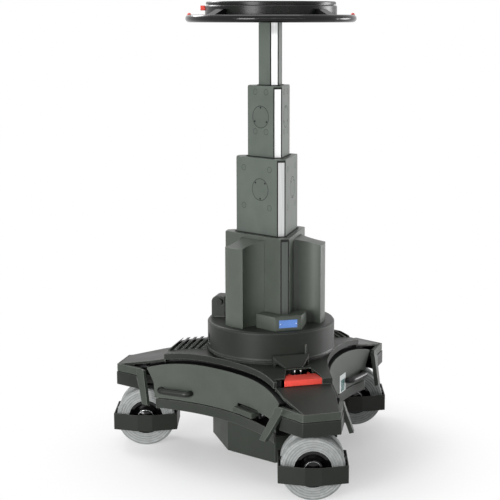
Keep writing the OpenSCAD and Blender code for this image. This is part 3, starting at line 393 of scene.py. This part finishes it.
def tyre_rubber(key):
    """Grey polyurethane tyre: rings from the lathe on its side walls with painted shade in their dips,
    scuffs and grime on the tread.
    """
    finish, tree, shader = blank("grey_polyurethane_tyre_" + key, Specular_IOR_Level=0.4)
    place = add(tree, "TexCoord").outputs["Object"]
    spot = at_caster(key).translation
    wheel = add(tree, "Mapping", {"Vector": place, "Location": (spot.x, spot.y, WHEEL_R),
                                  "Rotation": (0, 0, math.radians(STEER))}, vector_type="TEXTURE")
    across = add(tree, "VectorMath", {0: wheel.outputs["Vector"], 1: (1, 0, 1)}, operation="MULTIPLY")
    radius = add(tree, "VectorMath", {0: across.outputs["Vector"]}, operation="LENGTH").outputs["Value"]
    # rings 8 mm apart: a sine over the radius, with painted shade darkening the dips
    phase = add(tree, "Math", {0: radius, 1: 2 * math.pi / 0.008}, operation="MULTIPLY")
    rings = add(tree, "Math", {0: phase.outputs["Value"]}, operation="SINE").outputs["Value"]
    # grime in spots about 18 mm across
    grime = add(tree, "TexNoise", {"Vector": place, "Scale": 1 / 0.018, "Detail": 6.0,
                                   "Roughness": 0.65}).outputs["Fac"]
    worn = add(tree, "MapRange", {"Value": grime, "From Min": 0.35, "From Max": 0.75,
                                  "To Min": 0.0, "To Max": 0.55}, clamp=True)
    base = add(tree, "Mix", {6: colour("#a2a5a4"), 7: colour("#6c7170"), "Factor": worn.outputs["Result"]},
               data_type="RGBA")
    tread = add(tree, "MapRange", {"Value": radius, "From Min": WHEEL_R - 0.008, "From Max": WHEEL_R,
                                   "To Min": 0.0, "To Max": 0.35}, clamp=True)
    shade = add(tree, "Mix", {6: base.outputs[2], 7: colour("#6f7374"), "Factor": tread.outputs["Result"]},
                data_type="RGBA")
    # painted shade: the dips of the rings darkened
    dip_shade = add(tree, "MapRange", {"Value": rings, "From Min": -0.2, "From Max": -1.0,
                                 "To Min": 0.0, "To Max": 0.5}, clamp=True)
    painted_shade = add(tree, "Mix", {6: shade.outputs[2], 7: colour("#4c504f"), "Factor": dip_shade.outputs["Result"]},
                data_type="RGBA")
    ridge = add(tree, "Math", {0: grime, 1: 0.35, 2: rings}, operation="MULTIPLY_ADD")
    bump = add(tree, "Bump", {"Height": ridge.outputs["Value"], "Strength": 0.35, "Distance": 0.0006})
    sheen = add(tree, "MapRange", {"Value": grime, "To Min": 0.5, "To Max": 0.75})
    feed(tree, shader, Base_Color=painted_shade.outputs[2], Roughness=sheen.outputs["Result"],
         Normal=bump.outputs["Normal"])
    return finish


tyre_finish = {key: tyre_rubber(key) for key in ARMS}


def enamel(name, code, rough):
    """Printed or stove-enamelled plate: even colour under a thin clear coat, with tiny specks."""
    finish, tree, shader = blank(name, Coat_Weight=0.3, Coat_Roughness=0.12)
    place = add(tree, "TexCoord").outputs["Object"]
    # specks about 4 mm across
    speck = add(tree, "TexNoise", {"Vector": place, "Scale": 1 / 0.004, "Detail": 3.0}).outputs["Fac"]
    tone = add(tree, "MapRange", {"Value": speck, "From Min": 0.3, "From Max": 0.7,
                                  "To Min": 0.93, "To Max": 1.04})
    base = add(tree, "Mix", {6: colour(code), 7: tone.outputs["Result"], "Factor": 1.0},
               data_type="RGBA", blend_type="MULTIPLY")
    sheen = add(tree, "MapRange", {"Value": speck, "To Min": rough - 0.05, "To Max": rough + 0.05})
    feed(tree, shader, Base_Color=base.outputs[2], Roughness=sheen.outputs["Result"])
    return finish


blue_enamel = enamel("blue_enamel_plate", "#5b86cf", 0.35)
white_film = enamel("white_vinyl_plate", "#dfe5e4", 0.4)
teal_film = enamel("teal_vinyl_plate", "#3f9c98", 0.4)

FINISH = {
    "chassis_frame": black_nylon, "deck_cover": deck_abs_shaded, "skirt_panels": panel_abs, "arm_caps": deck_abs_shaded,
    "bumper_straps": bumper_abs, "drum": deck_abs_shaded, "under_pan": tray_abs, "pedal_guard": black_nylon,
    "side_bars": tube_gloss, "steering_chains": turned_steel, "column_casing": casing_coat,
    "casing_strips": dull_strip, "casing_seal": seal_rubber, "cylinder_covers": casing_coat,
    "gas_cylinders": turned_steel, "label_box": casing_coat, "pedal_pins": turned_steel,
    "stage_1": powder_coat, "stage_1_strips": lined_strip, "stage_1_seal": seal_rubber,
    "stage_1_covers": cover_coat, "stage_2": powder_coat, "stage_2_strips": bright_strip,
    "stage_2_seal": seal_rubber, "stage_2_covers": cover_coat, "stage_3": powder_coat,
    "stage_3_strips": bright_strip, "head_plate": disc_lacquer, "steering_shaft": turned_steel,
    "steering_tube_mid": turned_steel, "steering_tube_top": turned_steel, "steering_ring": ring_lacquer,
    "head_disc": disc_lacquer, "head_knob": red_plastic, "mode_pedal": red_plastic,
    "valve_knob": black_nylon, "brake_pedal_1": bumper_abs, "brake_pedal_2": bumper_abs,
    "brake_pedal_3": bumper_abs,
}
for key in ARMS:
    FINISH["yoke_" + key] = black_nylon
    FINISH["guard_" + key] = black_nylon
    FINISH["sprocket_" + key] = turned_steel
    for n in "12":
        FINISH["tyre_%s_%s" % (key, n)] = tyre_finish[key]
        FINISH["hub_%s_%s" % (key, n)] = hub_gloss
for name, finish in FINISH.items():
    nodes[name].data.materials.clear()
    nodes[name].data.materials.append(finish)
    pick(nodes[name])
    bpy.ops.object.shade_smooth_by_angle(angle=math.radians(28))


# Moulded and cast pieces, with rounded edges

def softened(name, body, width, segments=3, smooth=35):
    """The node's own shape with its edges rounded, as a mould leaves them."""
    copy = nodes[name].copy()
    copy.data = nodes[name].data.copy()
    bpy.context.scene.collection.objects.link(copy)
    copy.name = copy.data.name = name + "_rounded"
    every_face(copy)
    bpy.ops.mesh.remove_doubles(threshold=0.00001)
    bpy.ops.mesh.dissolve_limited(angle_limit=math.radians(1))
    back_to_object()
    rounded(copy, width, segments, 30)
    return fitted(copy, body, FINISH[name], smooth, (name,))


softened("bumper_straps", "base", 0.0035)
softened("arm_caps", "base", 0.003)
softened("label_box", "base", 0.0015)
softened("mode_pedal", "mode_pedal", 0.003)
softened("pedal_guard", "base", 0.001)
for n in "123":
    softened("brake_pedal_" + n, "brake_" + n, 0.002)
for key in ARMS:
    softened("guard_" + key, "caster_" + key, 0.0012, 2, 12)


# Small parts that repeat

def cap_screw(name, radius, height):
    """Socket-head screw, its head towards +Z with the head's foot at z = 0."""
    screw = rod(name, radius, height, (0, 0, height / 2), 24)
    sink(screw, lambda c, n: n.z > 0.9, radius * 0.45, 0)
    sink(screw, lambda c, n: n.z > 0.9 and c.xy.length < radius * 0.4, 0.0001, -height * 0.6)
    return rounded(screw, radius * 0.12, 2)


def flat_ring(name, radius, bead, share):
    """Ring of round wire pressed flat to a share of its thickness, its axis along Z."""
    clear()
    bpy.ops.mesh.primitive_torus_add(major_radius=radius, minor_radius=bead,
                                     major_segments=48, minor_segments=10)
    ring = named(name)
    every_face(ring)
    bpy.ops.transform.resize(value=(1, 1, share))
    back_to_object()
    return ring


# Column

def strip_beds(body, corner, low, high):
    """Black bed that shows as a dark line on each side of a corner strip."""
    bed = block(body + "_strip_bed", (0.001, 0.029, high - low), (corner - 0.0011, 0, (low + high) / 2))
    rounded(bed, 0.0002, 1)
    beds = spread(bed, [turn(a) for a in ARMS.values()], body + "_strip_beds")
    fitted(beds, "base" if body == "casing" else body, seal_rubber)


def face_trim(body, flat, z, screw_angles, aside, plug_y, plug_up, plug_down):
    """Joint rings and screws of the round covers and plugs on a stage's three faces, almost flush
    so that they pass the seal below."""
    def spot(face, y, up):
        return turn(face) @ move(flat, y, z + up) @ turn(90, "Y")
    ring = flat_ring(body + "_ring", 0.0353, 0.0009, 0.2)
    big = spread(ring, [spot(f, aside, 0) for f in FACES], body + "_cover_rings")
    ring = flat_ring(body + "_plug_ring", 0.0092, 0.0005, 0.3)
    places = [spot(f, y, up) for f in FACES for y in (-plug_y, plug_y) for up in (plug_up, -plug_down)]
    small = spread(ring, places, body + "_plug_rings")
    fitted(joined([big, small], body + "_cover_seals"), body, seal_rubber)
    circle = 0.03
    places = []
    for face in FACES:
        for angle in screw_angles:
            a = math.radians(angle)
            places.append(spot(face, aside + circle * math.cos(a), circle * math.sin(a)))
    screws = spread(cap_screw(body + "_screw", 0.0034, 0.0002), places, body + "_screws")
    fitted(screws, body, seal_rubber)


for body, (corner, low, high) in STRIPS.items():
    strip_beds(body, corner, low, high)
face_trim("stage_1", flat=0.0685, z=0.898, screw_angles=(45, 135, -90), aside=0.016,
          plug_y=0.057, plug_up=0.067, plug_down=0.057)
face_trim("stage_2", flat=0.049, z=1.13, screw_angles=(90, -30, -150), aside=0.0,
          plug_y=0.024, plug_up=0.08, plug_down=0.047)


# Base

def bare_plate():
    """Bare enamel plate in the box's recess, with a raised rim and two rivets."""
    plate = block("bare_plate", (0.0605, 0.0014, 0.0255), (0, PLATE_Y, PLATE_Z))
    sink(plate, lambda c, n: n.y < -0.9, 0.0022, 0)
    sink(plate, lambda c, n: n.y < -0.9 and abs(c.x) < 0.02 and abs(c.z - PLATE_Z) < 0.008, 0.0002, -0.0005)
    fitted(rounded(plate, 0.0002, 2), "base", blue_enamel)
    rivet = cap_screw("plate_rivet", 0.0016, 0.0008)
    places = [move(x, PLATE_Y - 0.0003, PLATE_Z) @ turn(90, "X") for x in (-0.0265, 0.0265)]
    fitted(spread(rivet, places, "plate_rivets"), "base", bright_strip)


def side_labels():
    """Plain two-tone film on the right-hand side panel."""
    def film(name, size, up, finish):
        piece = rounded(block(name, (0.0006,) + size), 0.0002, 1)
        piece = spread(piece, [on_side(-30, -10.6, 0.0004, up)], name)
        fitted(piece, "base", finish)
    film("side_label_white", (0.056, 0.07), 0.211, white_film)
    film("side_label_teal", (0.034, 0.04), 0.2075, teal_film)


def drum_louvre():
    """Black insert with three fins in the drum's side slot."""
    insert = block("louvre", (0.002, 0.031, 0.033), (LOUVRE_R, 0, LOUVRE_Z))
    sink(insert, lambda c, n: n.x > 0.9, 0.003, -0.001)
    fin = rounded(block("louvre_fin", (0.003, 0.026, 0.003)), 0.0008, 2)
    places = [move(LOUVRE_R + 0.0013, 0, LOUVRE_Z + dz) for dz in (-0.009, 0, 0.009)]
    fins = spread(fin, places, "louvre_fins")
    whole = joined([insert, fins], "drum_louvre")
    whole.data.transform(turn(177))
    fitted(whole, "base", seal_rubber)


def stop_studs():
    """Stop studs in the opening behind the red pedal: black shanks on the chassis arm, bright heads."""
    places = [move(x, -0.259, 0) for x in (0.0, 0.02)]
    shank = rounded(rod("shank", 0.0022, 0.095, (0, 0, 0.2925), 16), 0.0004, 2)
    fitted(spread(shank, places, "stop_shanks"), "base", black_nylon)
    head = cap_screw("stop_head", 0.0034, 0.005)
    head.data.transform(move(0, 0, 0.34))
    fitted(spread(head, places, "stop_heads"), "base", bright_strip)


def arm_shade_sheets():
    """Black sheets inside the arms that close the end of the groove under the deck's rim and stand in for
    the shade there: painted shade.
    Their tops are cut to the slope of the deck."""
    strip = block("arm_shade_sheet", (0.075, 0.003, 0.066), (0.3655, 0, 0.289))
    every_face(strip)
    bpy.ops.mesh.bisect(plane_co=(0.345, 0, 0.3135), plane_no=(0.17, 0, 0.985),
                        use_fill=True, clear_outer=True)
    back_to_object()
    rounded(strip, 0.0006, 2)
    places = [turn(a) @ move(0, y, 0) for a in ARMS.values() for y in (-0.066, 0.066)]
    fitted(spread(strip, places, "arm_shade_sheets"), "base", seal_rubber)


bare_plate()
side_labels()
drum_louvre()
stop_studs()
arm_shade_sheets()


# Casters

def hub_highlight_rings():
    """Bright steel ring round the boss of each hub, on its outer side: a painted highlight that stands for
    the lit edge of the boss.
    """
    boss = TWIN_PITCH / 2 + TYRE_W / 2 + 0.0067
    for key in ARMS:
        for n, side in (("1", -1), ("2", 1)):
            body = "wheel_%s_%s" % (key, n)
            place = at_caster(key) @ move(0, side * boss, WHEEL_R) @ turn(90, "X")
            ring = spread(flat_ring(body + "_boss_highlight", 0.0265, 0.0009, 0.6), [place], body + "_boss_highlight_ring")
            fitted(ring, body, turned_steel)


hub_highlight_rings()


# Head

def ring_marks():
    """Red index domes on top of the ring."""
    clear()
    bpy.ops.mesh.primitive_uv_sphere_add(segments=24, ring_count=12, radius=0.0065)
    dome = named("ring_mark")
    every_face(dome)
    bpy.ops.mesh.bisect(plane_co=(0, 0, 0), plane_no=(0, 0, 1), use_fill=True, clear_inner=True)
    back_to_object()
    places = [turn(STEER + a) @ move(RING_R, 0, RING_TOP) for a in (0, 180)]
    fitted(spread(dome, places, "ring_marks"), "steering", red_plastic)


ring_marks()


# Stage, light and camera

def shows_background(tree):
    """1 for a ray that shows the background: to the eye, in a reflection or through glass."""
    path = add(tree, "LightPath")
    seen = add(tree, "Math", {0: path.outputs["Is Camera Ray"], 1: path.outputs["Is Glossy Ray"]},
               operation="MAXIMUM")
    any_ray = add(tree, "Math", {0: seen.outputs["Value"], 1: path.outputs["Is Transmission Ray"]},
                  operation="MAXIMUM")
    return any_ray.outputs["Value"]


def pale_floor():
    """White studio floor: near white to the eye. Close to the object less of it glows, so it takes the
    object's shadow there and is greyed round the object's foot by painted shade as well.
    """
    clear()
    bpy.ops.mesh.primitive_plane_add(size=30, location=(0, 0, -0.0005))
    floor = named("studio_floor")
    finish, tree, shader = blank("white_studio_floor", Base_Color=colour("#f4f4f4"), Roughness=0.8)
    place = add(tree, "TexCoord").outputs["Object"]
    away = add(tree, "VectorMath", {0: place}, operation="LENGTH")
    # painted shade: less glow within 0.82 m of the axis greys the floor round the object
    white = add(tree, "MapRange", {"Value": away.outputs["Value"], "From Min": 0.25, "From Max": 0.82,
                                   "To Min": 0.35, "To Max": 1.0},
                clamp=True, interpolation_type="SMOOTHSTEP")
    share = add(tree, "Math", {0: shows_background(tree), 1: white.outputs["Result"]}, operation="MULTIPLY")
    glow = add(tree, "Emission", {"Color": (1, 1, 1, 1), "Strength": 1.0})
    mix = add(tree, "MixShader", {0: share.outputs["Value"], 1: shader.outputs["BSDF"],
                                  2: glow.outputs["Emission"]})
    tree.links.new(mix.outputs["Shader"], tree.nodes["Material Output"].inputs["Surface"])
    floor.data.materials.append(finish)


def white_world():
    """Soft white surroundings: full white to the eye and in reflections, dimmer as light."""
    world = bpy.data.worlds.new("studio")
    bpy.context.scene.world = world
    world.use_nodes = True
    tree = world.node_tree
    back = tree.nodes["Background"]
    level = add(tree, "MapRange", {"Value": shows_background(tree), "To Min": 0.2, "To Max": 1.0})
    back.inputs["Color"].default_value = (1, 1, 1, 1)
    tree.links.new(level.outputs["Result"], back.inputs["Strength"])


def soft_lamp(name, at, look, size, power, fan=180):
    """Rectangular lamp in watts, turned to the place it looks at; a small fan narrows its beam."""
    data = bpy.data.lights.new(name, "AREA")
    data.shape = "RECTANGLE"
    data.size, data.size_y = size
    data.energy = power
    data.spread = math.radians(fan)
    lamp = bpy.data.objects.new(name, data)
    bpy.context.scene.collection.objects.link(lamp)
    lamp.location = at
    lamp.rotation_euler = (Vector(look) - Vector(at)).to_track_quat("-Z", "Y").to_euler()


def camera():
    """The photograph's place: 4.2 m away at 1.45 m, a long lens looking 10 degrees down."""
    az, away, high, down = math.radians(-16.87), 4.187, 1.445, 10.24
    data = bpy.data.cameras.new("camera")
    data.sensor_width = 36
    data.lens = 92.66
    data.shift_x = -0.042
    eye = bpy.data.objects.new("camera", data)
    bpy.context.scene.collection.objects.link(eye)
    eye.location = (math.sin(az) * away, -math.cos(az) * away, high)
    eye.rotation_euler = (math.radians(90 - down), 0, az)
    bpy.context.scene.camera = eye


pale_floor()
white_world()
soft_lamp("left_window", (-3.1, -2.7, 1.15), (0, 0, 0.6), (1.6, 2.0), 150)
soft_lamp("right_window", (4.0, 0.5, 0.85), (0, 0, 0.85), (2.4, 2.0), 12, fan=40)
soft_lamp("top_soft", (0.0, 0.8, 4.4), (0, 0, 0.4), (2.4, 2.4), 40)
soft_lamp("front_strip", (-0.8, -5.2, 2.3), (0, 0, 1.3), (8.0, 0.12), 45)
soft_lamp("back_soft", (-1.6, 3.6, 3.6), (0, 0, 0.6), (2.0, 1.2), 80)
camera()
bpy.context.scene.view_settings.view_transform = "Standard"
